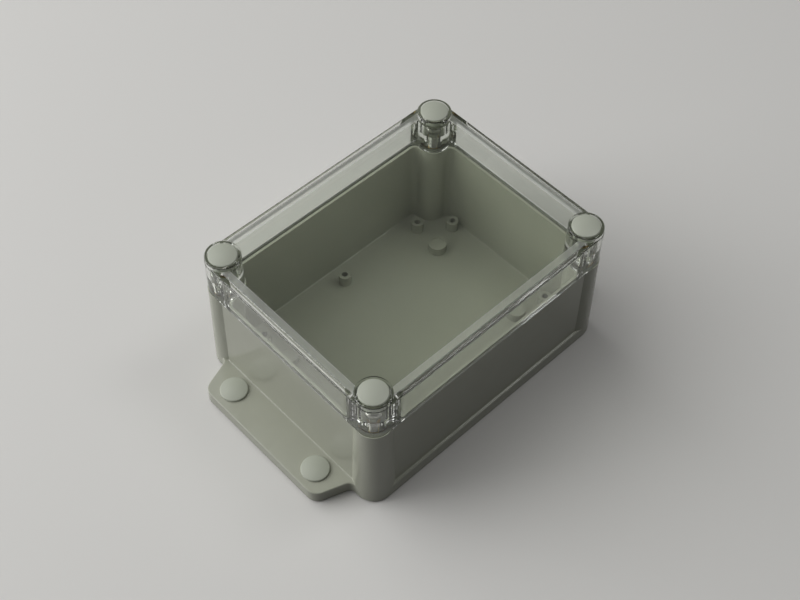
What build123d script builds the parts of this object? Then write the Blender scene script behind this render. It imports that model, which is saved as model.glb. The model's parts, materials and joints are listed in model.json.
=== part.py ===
"""Flanged electronics enclosure: a moulded tub, a clear screw-down lid and push-in caps.

X runs along the box towards its two mounting flanges, Y runs across it and Z is up.
The origin is the centre of the underside. Sizes are in millimetres.
"""

import os
from math import isclose, radians, tan

from build123d import *

# Tub
base_length = 153.0  # over the corner columns, at the foot
base_width = 120.0
base_height = 54.5
column_radius = 10.3  # round corner columns, at the foot
draft_angle = 1.4  # the outside narrows upwards
foot_radius = 1.2  # rounding of the bottom edge
panel_recess = 1.5  # the side panels lie this far inside the columns
panel_foot_radius = 0.6  # soft inner corner where a panel meets the plinth
column_relief = 0.05  # the plinth lies this far inside the columns
cavity_inset = 6.6  # from the foot's outline to the upright inner wall
floor_thickness = 3.0
floor_cove = 0.6
inner_column_radius = 8.8
inner_column_blend = 3.0

# Plinth and its two mounting flanges
plinth_height = 7.5
plinth_edge_radius = 0.6
flange_reach = 17.5  # from the foot's end to the tip
flange_root_gap = 4.1  # from the column's axis to the flange's side
flange_narrowing = 6.2  # on each side, from root to tip
flange_tip_radius = 6.5
flange_root_radius = 3.5
mount_inset = 10.1  # from the tip and from its corners
mount_hole_radius = 2.3

# Board standoffs and support pads on the floor
standoff_height = 6.2
standoff_radius = 3.2
standoff_hole_radius = 1.6
standoff_hole_depth = 6.6
side_standoff_inset = (18.9, 9.8)  # from the cavity's end and side walls
end_standoff_inset = (4.8, 21.4)
pad_height = 5.0
pad_radius = 4.75
pad_inset = (20.4, 26.4)
pad_dish_radius = 3.5  # shallow dish in the pad's top
pad_dish_depth = 0.4

# Seal between the rim and the lid
groove_inset = 1.2  # from the cavity's outline
groove_width = 1.8
groove_depth = 2.0
gasket_clearance = 0.1
gasket_edge_radius = 0.4
tongue_width = 0.8
tongue_depth = 0.8
tongue_clearance = 0.2

# Clear lid
lid_setback = 0.37  # from the tub's outline at the rim
lid_hollow_step = 1.9  # its hollow lies this far outside the cavity's outline
lid_rise = 20.2  # from the rim to the plate's top
lid_plate = 3.0
lid_edge_radius = 0.6
lid_cove = 0.5
frame_inset = 2.5  # raised frame round the window
frame_width = 3.6
frame_rise = 0.3
post_radius = 8.4
post_rise = 2.3  # post rings above the plate
post_edge_radius = 0.5

# Push-in caps, the same in the lid and in the flanges
cap_radius = 6.8
cap_rim = 1.0
cap_dome = 0.9
cap_edge_radius = 0.6
cap_stem_radius = 5.2
cap_stem_wall = 1.2
cap_stem_length = 5.0
cap_slot_width = 1.6
cap_seat_clearance = 0.3
cap_seat_depth = 0.9
cap_stem_clearance = 0.3
cap_stem_room = 0.3  # below the stem in the flange's counterbore

# Lid screws and the threaded inserts in the columns
screw_radius = 2.0
screw_grip = 9.5  # lid material under the head
screw_length = 18.0
screw_tip_chamfer = 0.5
screw_hole_clearance = 0.3
head_radius = 3.8
head_height = 2.7
head_edge_radius = 1.1
cross_length = 4.2
cross_width = 1.0
cross_depth = 1.5
cross_taper = 8.0
insert_radius = 3.0
insert_length = 8.1
insert_groove_depth = 0.35
insert_groove_width = 1.6
insert_lead = 0.4
thread_clearance = 0.05
tip_room = 3.0  # below the screw's tip
tip_hole_clearance = 0.4

# Places that several pieces share
rim_shrink = base_height * tan(radians(draft_angle))
screw_spacing_x = base_length - 2 * column_radius
screw_spacing_y = base_width - 2 * column_radius
cavity_length = base_length - 2 * cavity_inset
cavity_width = base_width - 2 * cavity_inset
flange_span = base_length + 2 * flange_reach
flange_root_width = screw_spacing_y - 2 * flange_root_gap
flange_tip_width = flange_root_width - 2 * flange_narrowing
mount_spacing_x = flange_span - 2 * mount_inset
mount_spacing_y = flange_tip_width - 2 * mount_inset
lid_length = base_length - 2 * (rim_shrink + lid_setback)
lid_width = base_width - 2 * (rim_shrink + lid_setback)
lid_corner_radius = column_radius - rim_shrink - lid_setback
plate_top = base_height + lid_rise
post_top = plate_top + post_rise
head_seat = base_height + screw_grip
groove_floor = base_height - groove_depth
cap_bore_radius = cap_stem_radius + cap_stem_clearance
flange_bore_depth = cap_stem_length + cap_stem_room


def hollow_plan(length, width, spacing_x, spacing_y, radius, blend):
    """Plan of a rectangular hollow with a round column standing in each corner."""
    with BuildSketch() as plan:
        Rectangle(length, width)
        with GridLocations(spacing_x, spacing_y, 2, 2):
            Circle(radius, mode=Mode.SUBTRACT)
        on_sides = plan.vertices().filter_by(
            lambda v: isclose(abs(v.X), length / 2) or isclose(abs(v.Y), width / 2)
        )
        fillet(on_sides, blend)
    return plan.sketch


def rim_ring(z, inner, outer):
    """Ring at a height that follows the cavity's outline between two distances from it."""
    with BuildSketch(Plane.XY.offset(z)) as ring:
        offset(cavity_plan, amount=outer)
        offset(cavity_plan, amount=inner, mode=Mode.SUBTRACT)
    return ring.sketch


def write_piece(piece, name):
    """Label a finished piece and write its STEP file."""
    piece.label = name
    export_step(piece, f"parts/{name}.step")


def write_copies(piece, name, places):
    """Write one numbered copy of a piece at each place."""
    for number, place in enumerate(places, start=1):
        with BuildPart() as copy:
            with Locations(place):
                add(piece)
        write_piece(copy.part, f"{name}_{number}")


os.makedirs("parts", exist_ok=True)

# Tub

cavity_plan = hollow_plan(
    cavity_length,
    cavity_width,
    screw_spacing_x,
    screw_spacing_y,
    inner_column_radius,
    inner_column_blend,
)
side_x, side_y = side_standoff_inset
end_x, end_y = end_standoff_inset
pad_x, pad_y = pad_inset
groove_outer = groove_inset + groove_width
groove_ring = rim_ring(groove_floor, groove_inset, groove_outer)

with BuildPart() as corner_column:
    with BuildSketch():
        Circle(column_radius)
    extrude(amount=base_height, taper=draft_angle)
    fillet(corner_column.edges().sort_by(Axis.Z)[0], foot_radius)

with BuildPart() as base:
    with BuildSketch() as footprint:
        plinth_length = base_length - 2 * column_relief
        plinth_width = base_width - 2 * column_relief
        RectangleRounded(plinth_length, plinth_width, column_radius - column_relief)
        for side in (-1, 1):
            Polygon(
                (side * plinth_length / 2, -flange_root_width / 2),
                (side * flange_span / 2, -flange_tip_width / 2),
                (side * flange_span / 2, flange_tip_width / 2),
                (side * plinth_length / 2, flange_root_width / 2),
                align=None,
            )
        flange_corners = footprint.vertices().filter_by_position(
            Axis.Y, -flange_root_width / 2, flange_root_width / 2
        )
        corner_rows = flange_corners.group_by(Axis.X)
        fillet(corner_rows[1] + corner_rows[-2], flange_root_radius)
        flange_tips = footprint.vertices().group_by(Axis.X)
        fillet(flange_tips[0] + flange_tips[-1], flange_tip_radius)
    extrude(amount=plinth_height, taper=draft_angle)
    fillet(base.faces().sort_by(Axis.Z)[-1].edges(), plinth_edge_radius)
    fillet(base.faces().sort_by(Axis.Z)[0].edges(), foot_radius)

    # Drafted walls between the columns, rising from inside the plinth
    wall_start = plinth_height / 2
    wall_inset = panel_recess + wall_start * tan(radians(draft_angle))
    with BuildSketch(Plane.XY.offset(wall_start)):
        RectangleRounded(
            base_length - 2 * wall_inset,
            base_width - 2 * wall_inset,
            column_radius - wall_inset,
        )
    extrude(amount=base_height - wall_start, taper=draft_angle)
    plinth_top = base.faces().filter_by(Plane.XY).sort_by(Axis.Z)[1]
    fillet(plinth_top.inner_wires()[0].edges(), panel_foot_radius)
    with GridLocations(screw_spacing_x, screw_spacing_y, 2, 2):
        add(corner_column.part)

    # Cavity
    with BuildSketch(Plane.XY.offset(floor_thickness)):
        add(cavity_plan)
    extrude(amount=base_height - floor_thickness, mode=Mode.SUBTRACT)
    fillet(
        base.edges().filter_by_position(Axis.Z, floor_thickness, floor_thickness),
        floor_cove,
    )

    # Standoffs and pads
    standoff_rows = [
        (cavity_length / 2 - side_x, cavity_width - 2 * side_y, 3, 2),
        (cavity_length - 2 * end_x, cavity_width - 2 * end_y, 2, 2),
    ]
    for row in standoff_rows:
        with BuildSketch(Plane.XY.offset(floor_thickness)):
            with GridLocations(*row):
                Circle(standoff_radius)
        extrude(amount=standoff_height)
        with Locations(Plane.XY.offset(floor_thickness + standoff_height)):
            with GridLocations(*row):
                Hole(standoff_hole_radius, standoff_hole_depth)
    pad_row = (cavity_length - 2 * pad_x, cavity_width - 2 * pad_y, 2, 2)
    with BuildSketch(Plane.XY.offset(floor_thickness)):
        with GridLocations(*pad_row):
            Circle(pad_radius)
    extrude(amount=pad_height)
    with Locations(Plane.XY.offset(floor_thickness + pad_height)):
        with GridLocations(*pad_row):
            Hole(pad_dish_radius, pad_dish_depth)

    # Seal groove, screw inserts' seats and mounting holes
    extrude(groove_ring, amount=groove_depth, mode=Mode.SUBTRACT)
    with Locations(Plane.XY.offset(base_height)):
        with GridLocations(screw_spacing_x, screw_spacing_y, 2, 2):
            CounterBoreHole(
                screw_radius + tip_hole_clearance,
                insert_radius,
                insert_length,
                screw_length - screw_grip + tip_room,
            )
    with Locations(Plane.XY.offset(plinth_height)):
        with GridLocations(mount_spacing_x, mount_spacing_y, 2, 2):
            CounterBoreHole(mount_hole_radius, cap_bore_radius, flange_bore_depth)
write_piece(base.part, "base")

# Gasket, lying on the groove's floor

gasket_ring = rim_ring(
    groove_floor, groove_inset + gasket_clearance, groove_outer - gasket_clearance
)
with BuildPart() as gasket:
    extrude(gasket_ring, amount=groove_depth - tongue_depth)
    fillet(gasket.faces().sort_by(Axis.Z)[-1].edges(), gasket_edge_radius)
write_piece(gasket.part, "gasket")

# Clear lid

tongue_outer = groove_outer - tongue_clearance
tongue_ring = rim_ring(
    base_height - tongue_depth, tongue_outer - tongue_width, tongue_outer
)

with BuildPart() as lid:
    with BuildSketch(Plane.XY.offset(base_height)):
        RectangleRounded(lid_length, lid_width, lid_corner_radius)
    extrude(amount=lid_rise)
    fillet(lid.faces().sort_by(Axis.Z)[-1].edges(), lid_edge_radius)
    with BuildSketch(Plane.XY.offset(base_height)):
        offset(cavity_plan, amount=lid_hollow_step)
    extrude(amount=lid_rise - lid_plate, mode=Mode.SUBTRACT)
    plate_underside = plate_top - lid_plate
    fillet(
        lid.edges().filter_by_position(Axis.Z, plate_underside, plate_underside),
        lid_cove,
    )

    # Raised frame round the window
    with BuildSketch(Plane.XY.offset(plate_top)):
        for inset, mode in ((frame_inset, Mode.ADD), (frame_inset + frame_width, Mode.SUBTRACT)):
            RectangleRounded(
                lid_length - 2 * inset,
                lid_width - 2 * inset,
                lid_corner_radius - frame_inset,
                mode=mode,
            )
    extrude(amount=frame_rise)

    # Screw posts with rings that stand above the plate
    with BuildSketch(Plane.XY.offset(base_height)):
        with GridLocations(screw_spacing_x, screw_spacing_y, 2, 2):
            Circle(post_radius)
    extrude(amount=post_top - base_height)
    fillet(lid.faces().filter_by(Plane.XY).group_by(Axis.Z)[-1].edges(), post_edge_radius)
    with Locations(Plane.XY.offset(post_top)):
        with GridLocations(screw_spacing_x, screw_spacing_y, 2, 2):
            CounterBoreHole(
                screw_radius + screw_hole_clearance,
                cap_bore_radius,
                post_top - head_seat,
            )
            Hole(cap_radius + cap_seat_clearance, cap_seat_depth)

    # Tongue that presses on the gasket
    extrude(tongue_ring, amount=tongue_depth)
write_piece(lid.part, "lid")

# Push-in cap, with the underside of its head at the origin

with BuildPart() as cap:
    with BuildSketch(Plane.XZ) as head_profile:
        with BuildLine():
            Polyline((0, cap_rim + cap_dome), (0, 0), (cap_radius, 0), (cap_radius, cap_rim))
            dome_radius = (cap_radius**2 + cap_dome**2) / (2 * cap_dome)
            RadiusArc((cap_radius, cap_rim), (0, cap_rim + cap_dome), -dome_radius)
        make_face()
        rim_corners = head_profile.vertices().group_by(Axis.X)[-1]
        fillet(rim_corners.sort_by(Axis.Y)[-1], cap_edge_radius)
    revolve(axis=Axis.Z)
    with BuildSketch():
        Circle(cap_stem_radius)
        Circle(cap_stem_radius - cap_stem_wall, mode=Mode.SUBTRACT)
        for turn in (0, 90):
            Rectangle(2 * cap_radius, cap_slot_width, rotation=turn, mode=Mode.SUBTRACT)
    extrude(amount=-cap_stem_length)

# Lid screw, with the underside of its pan head at the origin

with BuildPart() as screw:
    with BuildSketch():
        Circle(screw_radius)
    extrude(amount=-screw_length)
    chamfer(screw.edges().sort_by(Axis.Z)[0], screw_tip_chamfer)
    with BuildSketch():
        Circle(head_radius)
    extrude(amount=head_height)
    fillet(screw.edges().sort_by(Axis.Z)[-1], head_edge_radius)
    with BuildSketch(Plane.XY.offset(head_height)):
        for turn in (0, 90):
            Rectangle(cross_length, cross_width, rotation=turn)
    extrude(amount=-cross_depth, taper=cross_taper, mode=Mode.SUBTRACT)

# Threaded insert, with its top face at the origin

with BuildPart() as insert:
    with BuildSketch():
        Circle(insert_radius)
        Circle(screw_radius + thread_clearance, mode=Mode.SUBTRACT)
    extrude(amount=-insert_length)
    with BuildSketch(Plane.XY.offset(-(insert_length + insert_groove_width) / 2)):
        Circle(insert_radius)
        Circle(insert_radius - insert_groove_depth, mode=Mode.SUBTRACT)
    extrude(amount=insert_groove_width, mode=Mode.SUBTRACT)
    chamfer(insert.faces().sort_by(Axis.Z)[0].outer_wire().edges(), insert_lead)

# Copies at the four screws and the four mounting holes, counted round from (-X, -Y)

turn_order = [(-1, -1), (1, -1), (1, 1), (-1, 1)]
screw_places = [(x * screw_spacing_x / 2, y * screw_spacing_y / 2) for x, y in turn_order]
mount_places = [(x * mount_spacing_x / 2, y * mount_spacing_y / 2) for x, y in turn_order]

write_copies(screw.part, "screw", [(x, y, head_seat) for x, y in screw_places])
write_copies(insert.part, "insert", [(x, y, base_height) for x, y in screw_places])
write_copies(cap.part, "lid_cap", [(x, y, post_top - cap_seat_depth) for x, y in screw_places])
write_copies(cap.part, "flange_cap", [(x, y, plinth_height) for x, y in mount_places])
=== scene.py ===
# %% [markdown]
# # An enclosure with a clear lid
#
# The object is a small box for electronics: a moulded grey tub with two mounting
# flanges, a clear lid held by four screws, and eight grey push-in caps that hide
# the screws and the mounting holes. Its shapes could be modelled here, but they
# have to keep real sizes, so the solid model arrives as a fixed frame. This file
# gives it its finishes, its threads, a camera and light.

import json
from math import cos, radians, sin, tau

import bmesh
import bpy
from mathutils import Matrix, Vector


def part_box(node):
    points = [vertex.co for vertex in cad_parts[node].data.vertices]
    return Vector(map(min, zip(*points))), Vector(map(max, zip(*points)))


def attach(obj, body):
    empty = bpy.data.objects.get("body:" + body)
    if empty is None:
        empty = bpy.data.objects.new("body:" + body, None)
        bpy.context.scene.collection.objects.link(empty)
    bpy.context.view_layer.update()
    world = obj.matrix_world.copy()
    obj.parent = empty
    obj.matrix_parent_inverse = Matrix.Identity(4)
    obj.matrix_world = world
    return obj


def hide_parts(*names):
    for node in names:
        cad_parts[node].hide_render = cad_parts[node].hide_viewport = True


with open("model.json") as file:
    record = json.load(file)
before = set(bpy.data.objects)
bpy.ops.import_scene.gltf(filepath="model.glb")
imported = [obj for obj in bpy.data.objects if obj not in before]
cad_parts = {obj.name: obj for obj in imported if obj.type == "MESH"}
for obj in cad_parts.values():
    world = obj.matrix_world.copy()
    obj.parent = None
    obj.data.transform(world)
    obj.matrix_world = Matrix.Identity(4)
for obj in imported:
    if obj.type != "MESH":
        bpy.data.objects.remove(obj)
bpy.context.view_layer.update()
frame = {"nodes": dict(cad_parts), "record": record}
print("nodes:", sorted(frame["nodes"]))

# %% [markdown]
# ## Colours and nodes
#
# Colours are written as sRGB hex values, the way a designer reads them off a
# chart. Blender's shaders work in linear light, so one function turns them over.
#
# A shader node takes a line to add, a line for each setting and a line for each
# link. One more function does all of it in one call, so a material below reads as
# a list of its nodes and of what feeds them.


# %% Helpers for colours and nodes
def linear(hex_colour):
    """RGBA in linear light for an sRGB hex colour, by the curve of that standard."""
    parts = [int(hex_colour[i : i + 2], 16) / 255 for i in (1, 3, 5)]
    light = [c / 12.92 if c <= 0.04045 else ((c + 0.055) / 1.055) ** 2.4 for c in parts]
    return (*light, 1)


def node(tree, kind, inputs=None, **settings):
    """Add a node. Inputs, by name or number, are values or the sockets to link from."""
    made = tree.nodes.new(kind)
    for name, value in settings.items():
        setattr(made, name, value)
    for name, value in (inputs or {}).items():
        if isinstance(value, bpy.types.NodeSocket):
            tree.links.new(value, made.inputs[name])
        else:
            made.inputs[name].default_value = value
    return made


def new_material(name):
    """A material with an empty node tree, and that tree."""
    material = bpy.data.materials.new(name)
    material.use_nodes = True
    material.node_tree.nodes.clear()
    return material, material.node_tree


print("middle grey in linear light:", round(linear("#808080")[0], 3))

# %% [markdown]
# ## Camera
#
# The photograph looks down on one corner of the box from about two thirds of a
# metre. A camera could be turned by eye until the picture looks right, but small
# faults in the perspective stay. Here place, turn and focal length come from
# fitting the box's corners to the photograph, so they are odd numbers. The sensor
# is Blender's own, 36 mm wide.

# %% Camera
CAMERA_PLACE = (-0.2663, -0.2684, 0.5389)  # metres
CAMERA_TILT = 36.684  # degrees up from straight down
CAMERA_ROLL = -0.941
CAMERA_TURN = -42.843
CAMERA_LENS = 59.39  # millimetres
NEAREST_SEEN = 0.01  # metres
FARTHEST_SEEN = 20

camera = bpy.data.objects.new("camera", bpy.data.cameras.new("camera"))
camera.location = CAMERA_PLACE
camera.rotation_mode = "YXZ"
camera.rotation_euler = [radians(a) for a in (CAMERA_TILT, CAMERA_ROLL, CAMERA_TURN)]
camera.data.lens = CAMERA_LENS
camera.data.clip_start = NEAREST_SEEN
camera.data.clip_end = FARTHEST_SEEN
bpy.context.scene.collection.objects.link(camera)
bpy.context.scene.camera = camera
print("camera at", CAMERA_PLACE)

# %% [markdown]
# ## Floor
#
# The box stands on a wide flat floor. Blender can add a plane by an operator, but
# a mesh of one face from four corners depends on no selection or mode.

# %% Floor
FLOOR_HALF = 3.0  # metres from the middle to each side

floor_signs = ((-1, -1), (1, -1), (1, 1), (-1, 1))
floor_corners = [(x * FLOOR_HALF, y * FLOOR_HALF, 0) for x, y in floor_signs]
floor_mesh = bpy.data.meshes.new("floor")
floor_mesh.from_pydata(floor_corners, [], [(0, 1, 2, 3)])
floor = bpy.data.objects.new("floor", floor_mesh)
bpy.context.scene.collection.objects.link(floor)
print("floor:", 2 * FLOOR_HALF, "metres wide")

# %% [markdown]
# ## Paper, for the floor
#
# The floor is covered with pale matt paper, which takes a soft shadow and mirrors
# hardly anything. Paper of one colour would do on its own, but it would also throw
# light up at the shaded side of the box and wash it out. So the Light Path node
# tells rays apart: the camera, gloss and the clear lid see the pale colour, and
# soft light bounces off the floor as off a darker one.

# %% Paper
PAPER_SEEN = "#D2D1CE"
PAPER_BOUNCE = "#5C5B58"
PAPER_ROUGHNESS = 0.85

floor_paper, tree = new_material("pale_paper")
rays = node(tree, "ShaderNodeLightPath")
seen = rays.outputs["Is Camera Ray"]
for ray in ("Is Glossy Ray", "Is Transmission Ray"):
    pair = node(
        tree, "ShaderNodeMath", {0: seen, 1: rays.outputs[ray]}, operation="MAXIMUM"
    )
    seen = pair.outputs["Value"]
paper_colour = node(
    tree,
    "ShaderNodeMixRGB",
    {"Fac": seen, "Color1": linear(PAPER_BOUNCE), "Color2": linear(PAPER_SEEN)},
)
paper = node(
    tree,
    "ShaderNodeBsdfPrincipled",
    {"Base Color": paper_colour.outputs["Color"], "Roughness": PAPER_ROUGHNESS},
)
node(tree, "ShaderNodeOutputMaterial", {"Surface": paper.outputs["BSDF"]})
floor_mesh.materials.append(floor_paper)
print("floor finish:", floor_paper.name)

# %% [markdown]
# ## Lamps
#
# A picture of a studio wrapped round the scene would light the box too, but a lamp
# can be placed where its light is wanted. The main soft lamp stands high behind the
# box, so the tops and the inside of the tub are bright and the near long side falls
# into shade, as in the photograph. A second one lights the flange side from the
# left. A small third one, high on the right, draws a light line along the rounded
# edges of the long side.
#
# The main lamp is two lamps in one place, and gloss mirrors only one of them. The
# mirror image of the whole lamp in the clear lid would hide the tub from behind.

# %% Lamps
KEY_PLACE = Vector((-0.6, 0.95, 1.0))  # metres
KEY_SIZE = 2.0
KEY_POWER = 34  # watts
KEY_IN_GLOSS = 0.45  # share of the key lamp that gloss mirrors
SIDE_PLACE = Vector((-0.85, 0.8, 0.55))
SIDE_SIZE = 0.8
SIDE_POWER = 4.5
EDGE_PLACE = Vector((0.5, -0.25, 0.95))
EDGE_SIZE = 0.3
EDGE_POWER = 1.3
LAMP_AIM = Vector((0, 0, 0.03))  # inside the tub


def lamp(name, place, size, power, in_gloss=True):
    """A square soft lamp that faces the box, mirrored by gloss or not."""
    data = bpy.data.lights.new(name, "AREA")
    data.size = size
    data.energy = power
    made = bpy.data.objects.new(name, data)
    made.visible_glossy = in_gloss
    made.location = place
    made.rotation_euler = (LAMP_AIM - place).to_track_quat("-Z", "Y").to_euler()
    bpy.context.scene.collection.objects.link(made)


lamp("key", KEY_PLACE, KEY_SIZE, KEY_POWER * KEY_IN_GLOSS)
lamp("key_matt", KEY_PLACE, KEY_SIZE, KEY_POWER * (1 - KEY_IN_GLOSS), in_gloss=False)
lamp("side", SIDE_PLACE, SIDE_SIZE, SIDE_POWER)
lamp("edge", EDGE_PLACE, EDGE_SIZE, EDGE_POWER)
print("lamps:", {light.name: round(light.energy, 2) for light in bpy.data.lights})

# %% [markdown]
# ## World
#
# The world gives the light that comes from everywhere else in a room. A strong one
# would flatten the box, so it is a weak white and only fills the shadows. The
# Standard view shows a colour about as it is written, where Blender's usual one
# would soften it.

# %% World
WORLD_STRENGTH = 0.13

world = bpy.data.worlds.new("studio")
bpy.context.scene.world = world
world.use_nodes = True
background = world.node_tree.nodes["Background"]
background.inputs["Color"].default_value = linear("#FFFFFF")
background.inputs["Strength"].default_value = WORLD_STRENGTH
bpy.context.scene.view_settings.view_transform = "Standard"
print("world strength:", WORLD_STRENGTH)

# %% [markdown]
# ## ABS, for the tub and the caps
#
# Both are moulded ABS in a warm light grey. The tub's mould was polished, so it
# has a soft gloss, with shallow waves where the plastic shrank as it cooled. The
# caps come from a duller mould and are a touch lighter.
#
# One flat colour and one roughness would look drawn from near by. Two noise
# patterns do more: a wide one moves colour, gloss and height together, as the
# waves do, and a fine one gives the skin its grain.

# %% ABS
MM = 0.001  # metres in a millimetre
ABS_IOR = 1.54
WAVE_SPACING = 9 * MM  # between shallow dips
WAVE_DEPTH = 0.02 * MM
GRAIN_SPACING = 0.7 * MM  # coarser than real mould grain, which wouldn't show
GRAIN_DEPTH = 0.004 * MM
POLISHED_ROUGHNESS = (0.14, 0.22)  # least and most
SATIN_ROUGHNESS = (0.34, 0.42)


def moulded_abs(name, colour, shade, roughness):
    """Moulded ABS with faint mottling, uneven gloss, shallow waves and a fine grain."""
    material, tree = new_material(name)
    place = node(tree, "ShaderNodeTexCoord").outputs["Object"]
    wave = node(tree, "ShaderNodeTexNoise", {"Vector": place, "Scale": 1 / WAVE_SPACING})
    grain = node(tree, "ShaderNodeTexNoise", {"Vector": place, "Scale": 1 / GRAIN_SPACING})
    mottle = node(
        tree,
        "ShaderNodeMixRGB",
        {"Fac": wave.outputs["Fac"], "Color1": linear(colour), "Color2": linear(shade)},
    )
    gloss = node(
        tree,
        "ShaderNodeMapRange",
        {"Value": wave.outputs["Fac"], "To Min": roughness[0], "To Max": roughness[1]},
    )
    waves = node(
        tree,
        "ShaderNodeBump",
        {"Height": wave.outputs["Fac"], "Distance": WAVE_DEPTH},
    )
    skin = node(
        tree,
        "ShaderNodeBump",
        {
            "Height": grain.outputs["Fac"],
            "Distance": GRAIN_DEPTH,
            "Normal": waves.outputs["Normal"],
        },
    )
    plastic = node(
        tree,
        "ShaderNodeBsdfPrincipled",
        {
            "Base Color": mottle.outputs["Color"],
            "Roughness": gloss.outputs["Result"],
            "IOR": ABS_IOR,
            "Normal": skin.outputs["Normal"],
        },
    )
    node(tree, "ShaderNodeOutputMaterial", {"Surface": plastic.outputs["BSDF"]})
    return material


tub_abs = moulded_abs("abs_polished_mould", "#9FA193", "#9B9D8F", POLISHED_ROUGHNESS)
cap_abs = moulded_abs("abs_satin_mould", "#A8AC9F", "#A4A89B", SATIN_ROUGHNESS)
print("ABS:", tub_abs.name, "and", cap_abs.name)

# %% [markdown]
# ## The frosted band on the lid
#
# A low raised border runs round the lid's window. The mould was left rough there,
# so it looks frosted. The border's faces could get a material of their own, but
# the solid model's faces stay as they are. Math nodes find the border instead,
# from each point's distance inside the lid's outline and its height.

# %% Frosted band
FROST_FROM = 2.5 * MM  # inside the lid's outline
FROST_TO = 6.1 * MM
FROST_EDGE = 0.15 * MM  # the frost fades out over this much, to each side of an edge
PLATE_TOP = 74.7 * MM
ABOVE_BORDER = 75.2 * MM

lid_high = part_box("lid")[1]


def frosted_band(tree):
    """1 on the border round the window and 0 elsewhere, from the place on the lid."""
    place = node(tree, "ShaderNodeTexCoord").outputs["Object"]
    axes = node(tree, "ShaderNodeSeparateXYZ", {"Vector": place})
    insets = []
    for axis, outline in (("X", lid_high.x), ("Y", lid_high.y)):
        out = node(tree, "ShaderNodeMath", {0: axes.outputs[axis]}, operation="ABSOLUTE")
        inset = node(
            tree,
            "ShaderNodeMath",
            {0: outline, 1: out.outputs["Value"]},
            operation="SUBTRACT",
        )
        insets.append(inset.outputs["Value"])
    nearest = node(
        tree, "ShaderNodeMath", {0: insets[0], 1: insets[1]}, operation="MINIMUM"
    )

    limits = []
    for bare, frosted in (
        (FROST_FROM - FROST_EDGE, FROST_FROM + FROST_EDGE),
        (FROST_TO + FROST_EDGE, FROST_TO - FROST_EDGE),
    ):
        fade = node(
            tree,
            "ShaderNodeMapRange",
            {"Value": nearest.outputs["Value"], "From Min": bare, "From Max": frosted},
            interpolation_type="SMOOTHSTEP",
        )
        limits.append(fade.outputs["Result"])
    for side, height in (
        ("GREATER_THAN", PLATE_TOP - FROST_EDGE),
        ("LESS_THAN", ABOVE_BORDER),
    ):
        level = node(
            tree, "ShaderNodeMath", {0: axes.outputs["Z"], 1: height}, operation=side
        )
        limits.append(level.outputs["Value"])

    band = limits[0]
    for limit in limits[1:]:
        both = node(tree, "ShaderNodeMath", {0: band, 1: limit}, operation="MULTIPLY")
        band = both.outputs["Value"]
    return band


print("width of the frosted band, in millimetres:", round((FROST_TO - FROST_FROM) / MM, 1))

# %% [markdown]
# ## Polycarbonate, for the lid
#
# The lid is clear moulded polycarbonate, which bends light a little more than
# glass and is nearly as smooth. Rays from the lamps could be traced through it bend
# by bend, but that is slow and leaves specks. Here they pass straight through,
# which lights the inside of the tub as a real clear lid does.

# %% Polycarbonate
PC_IOR = 1.585
PC_ROUGHNESS = 0.015
FROST_ROUGHNESS = 0.3
FROST_CLEAR = 0.9  # share of light that the frosted band still lets through

lid_pc, tree = new_material("polycarbonate_clear")
band = frosted_band(tree)
clear_share = node(
    tree, "ShaderNodeMapRange", {"Value": band, "To Min": 1.0, "To Max": FROST_CLEAR}
)
surface_roughness = node(
    tree,
    "ShaderNodeMapRange",
    {"Value": band, "To Min": PC_ROUGHNESS, "To Max": FROST_ROUGHNESS},
)
clear = node(
    tree,
    "ShaderNodeBsdfPrincipled",
    {
        "Base Color": linear("#F6F8F4"),
        "Roughness": surface_roughness.outputs["Result"],
        "IOR": PC_IOR,
        "Transmission Weight": clear_share.outputs["Result"],
    },
)
let_through = node(tree, "ShaderNodeBsdfTransparent", {"Color": linear("#DFE1DD")})
lamp_ray = node(tree, "ShaderNodeLightPath").outputs["Is Shadow Ray"]
lid_shader = node(
    tree,
    "ShaderNodeMixShader",
    {0: lamp_ray, 1: clear.outputs["BSDF"], 2: let_through.outputs["BSDF"]},
)
node(tree, "ShaderNodeOutputMaterial", {"Surface": lid_shader.outputs["Shader"]})
print("lid:", lid_pc.name, "of", len(tree.nodes), "nodes")

# %% [markdown]
# ## Silicone, for the gasket
#
# The gasket is moulded silicone: dull, with the powdery skin of soft rubber. Only
# its edge shows while the lid is on, so a flat colour would nearly do. The grain
# costs one noise pattern more and shows once the lid is off.

# %% Silicone
SILICONE_ROUGHNESS = 0.65

gasket_silicone, tree = new_material("silicone_moulded")
place = node(tree, "ShaderNodeTexCoord").outputs["Object"]
bloom = node(tree, "ShaderNodeTexNoise", {"Vector": place, "Scale": 1 / GRAIN_SPACING})
skin = node(
    tree,
    "ShaderNodeBump",
    {"Height": bloom.outputs["Fac"], "Distance": GRAIN_DEPTH},
)
rubber = node(
    tree,
    "ShaderNodeBsdfPrincipled",
    {
        "Base Color": linear("#77786F"),
        "Roughness": SILICONE_ROUGHNESS,
        "Normal": skin.outputs["Normal"],
    },
)
node(tree, "ShaderNodeOutputMaterial", {"Surface": rubber.outputs["BSDF"]})
print("gasket:", gasket_silicone.name)

# %% [markdown]
# ## Steel and brass, for the screws and inserts
#
# The lid screws are stainless steel and the threaded inserts are brass. Both were
# turned, so they are fairly smooth, with fine marks that run round them and
# spread their glints along the axis. Cut as geometry, the marks would need far
# too many faces. A wave pattern along the upright axis does it in the bump.

# %% Turned steel and brass
TOOL_MARK_SPACING = 0.4935 * MM  # coarser than real turning marks, which wouldn't show
TOOL_MARK_DEPTH = 0.004 * MM
TOOL_MARK_WANDER = 0.4
WAVES_PER_UNIT = 20 / tau  # that the wave pattern draws at a scale of 1
STEEL_ROUGHNESS = 0.26
BRASS_ROUGHNESS = 0.28


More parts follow.
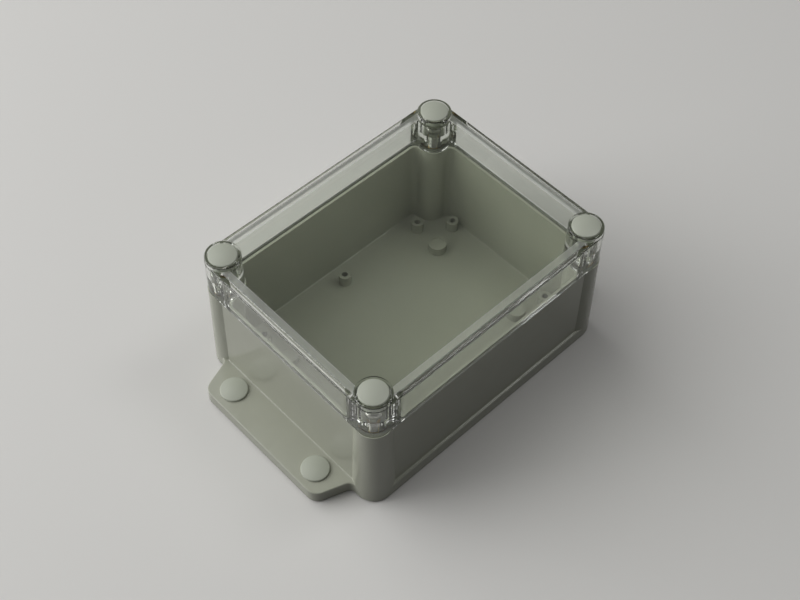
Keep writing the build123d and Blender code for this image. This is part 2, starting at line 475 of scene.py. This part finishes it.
def turned_metal(name, colour, roughness):
    """Turned metal, with fine marks that run round the upright axis."""
    material, tree = new_material(name)
    place = node(tree, "ShaderNodeTexCoord").outputs["Object"]
    marks = node(
        tree,
        "ShaderNodeTexWave",
        {
            "Vector": place,
            "Scale": 1 / (TOOL_MARK_SPACING * WAVES_PER_UNIT),
            "Distortion": TOOL_MARK_WANDER,
        },
        bands_direction="Z",
    )
    cut = node(
        tree,
        "ShaderNodeBump",
        {"Height": marks.outputs["Fac"], "Distance": TOOL_MARK_DEPTH},
    )
    metal = node(
        tree,
        "ShaderNodeBsdfPrincipled",
        {
            "Base Color": linear(colour),
            "Metallic": 1.0,
            "Roughness": roughness,
            "Normal": cut.outputs["Normal"],
        },
    )
    node(tree, "ShaderNodeOutputMaterial", {"Surface": metal.outputs["BSDF"]})
    return material


screw_steel = turned_metal("stainless_turned", "#C9C8C4", STEEL_ROUGHNESS)
insert_brass = turned_metal("brass_turned", "#D9BF80", BRASS_ROUGHNESS)
print("metals:", screw_steel.name, "and", insert_brass.name)

# %% [markdown]
# ## The form of the thread
#
# The lid screws have a rolled M4 thread, which rises 0.7 mm with each turn. It is
# too fine for the solid model, whose shanks are plain. Blender's Screw modifier
# could wind it from a profile, but this thread also fades in below the head and
# narrows at the tip. So two functions say how far the shank reaches from its axis
# at any place. The reach swings between root and crest once per turn, a little
# sooner at each step round, which winds the thread up to the right. The crests are
# as wide as the plain shank, so the screw fits its hole as before.

# %% Thread form
THREAD_PITCH = 0.7 * MM
THREAD_DEPTH = 0.4 * MM
THREAD_FLAT = 1 / 7  # share of the pitch that is flat, at the crest and at the root
SHANK_LENGTH = 18 * MM
SHANK_RADIUS = 2 * MM
NECK_LENGTH = 0.8 * MM  # plain, under the head
TIP_RADIUS = 1.4 * MM


def thread_rise(turns):
    """0 at the thread's root and 1 at its crest, with a short flat on each."""
    slope = abs(2 * (turns % 1) - 1)
    return min(1, max(0, (slope - THREAD_FLAT) / (1 - 2 * THREAD_FLAT)))


def shank_reach(depth, turn):
    """The shank's radius at a depth below the head and a part of a turn round it."""
    cut = THREAD_DEPTH * min(1, max(0, (depth - NECK_LENGTH) / THREAD_PITCH))
    threaded = SHANK_RADIUS - cut * (1 - thread_rise(depth / THREAD_PITCH + turn))
    tip = TIP_RADIUS + SHANK_LENGTH - depth
    return min(threaded, tip)


radii = [round(shank_reach(10 * THREAD_PITCH, turn) / MM, 2) for turn in (0, 0.5)]
print("thread's crest and root radius, in millimetres:", radii)

# %% [markdown]
# ## Threaded lid screws
#
# The new shank could be joined to the head by a boolean, but that is slow and can
# leave stray slivers. Instead a copy of each screw loses its plain shank, and the
# new one is built from rings of points round the axis.

# %% Threaded screws
NECK_HIDDEN = 0.3 * MM  # inside the head
SEAT_MARGIN = 0.01 * MM  # points this far below the head's seat are the shank's
STEPS_ROUND = 32
STEPS_PER_PITCH = 8


def wind_shank(form, axis, seat):
    """Add the threaded shank: rings from inside the head to the tip, joined by faces."""
    full_length = SHANK_LENGTH + NECK_HIDDEN
    rows = round(full_length / THREAD_PITCH * STEPS_PER_PITCH)
    above = None
    for row in range(rows + 1):
        depth = full_length * row / rows - NECK_HIDDEN
        ring = []
        for count in range(STEPS_ROUND):
            turn = count / STEPS_ROUND
            reach = shank_reach(depth, turn)
            x = axis.x + reach * cos(tau * turn)
            y = axis.y + reach * sin(tau * turn)
            ring.append(form.verts.new((x, y, seat - depth)))
        if above:
            for here in range(STEPS_ROUND):
                after = (here + 1) % STEPS_ROUND
                flank = form.faces.new((above[here], ring[here], ring[after], above[after]))
                flank.smooth = True
        above = ring
    form.faces.new(reversed(above))


def threaded_screw(name):
    """A copy of a lid screw with a threaded shank, which stands for the plain one."""
    solid = frame["nodes"][name].data
    low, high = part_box(name)
    seat = low.z + SHANK_LENGTH
    form = bmesh.new()
    form.from_mesh(solid)
    plain_shank = [corner for corner in form.verts if corner.co.z < seat - SEAT_MARGIN]
    bmesh.ops.delete(form, geom=plain_shank, context="VERTS")
    loose = [corner for corner in form.verts if not corner.link_faces]
    bmesh.ops.delete(form, geom=loose, context="VERTS")
    wind_shank(form, (low + high) / 2, seat)

    mesh = solid.copy()
    form.to_mesh(mesh)
    form.free()
    screw = bpy.data.objects.new(f"threaded_{name}", mesh)
    bpy.context.scene.collection.objects.link(screw)
    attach(screw, f"lid_{name}")
    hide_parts(name)
    return screw


lid_screws = ("screw_1", "screw_2", "screw_3", "screw_4")
stand_ins = {name: threaded_screw(name) for name in lid_screws}
print("threaded screws, faces:", [len(screw.data.polygons) for screw in stand_ins.values()])

# %% [markdown]
# ## Give each piece its finish
#
# Every piece of the box now gets one of the six finishes. They could be handed out
# by the pieces' names, but the record already names a material slot for each
# piece. By slot, the list stays short and no piece can be forgotten.

# %% Finishes by slot
FINISHES = {
    "housing": tub_abs,
    "cap": cap_abs,
    "clear": lid_pc,
    "seal": gasket_silicone,
    "screw_steel": screw_steel,
    "insert_brass": insert_brass,
}

for piece in frame["record"]["subparts"]:
    shown = stand_ins.get(piece["node"], frame["nodes"][piece["node"]])
    finish = FINISHES[piece["material_slot"]]
    if not shown.material_slots:
        shown.data.materials.append(finish)
    for slot in shown.material_slots:
        slot.material = finish
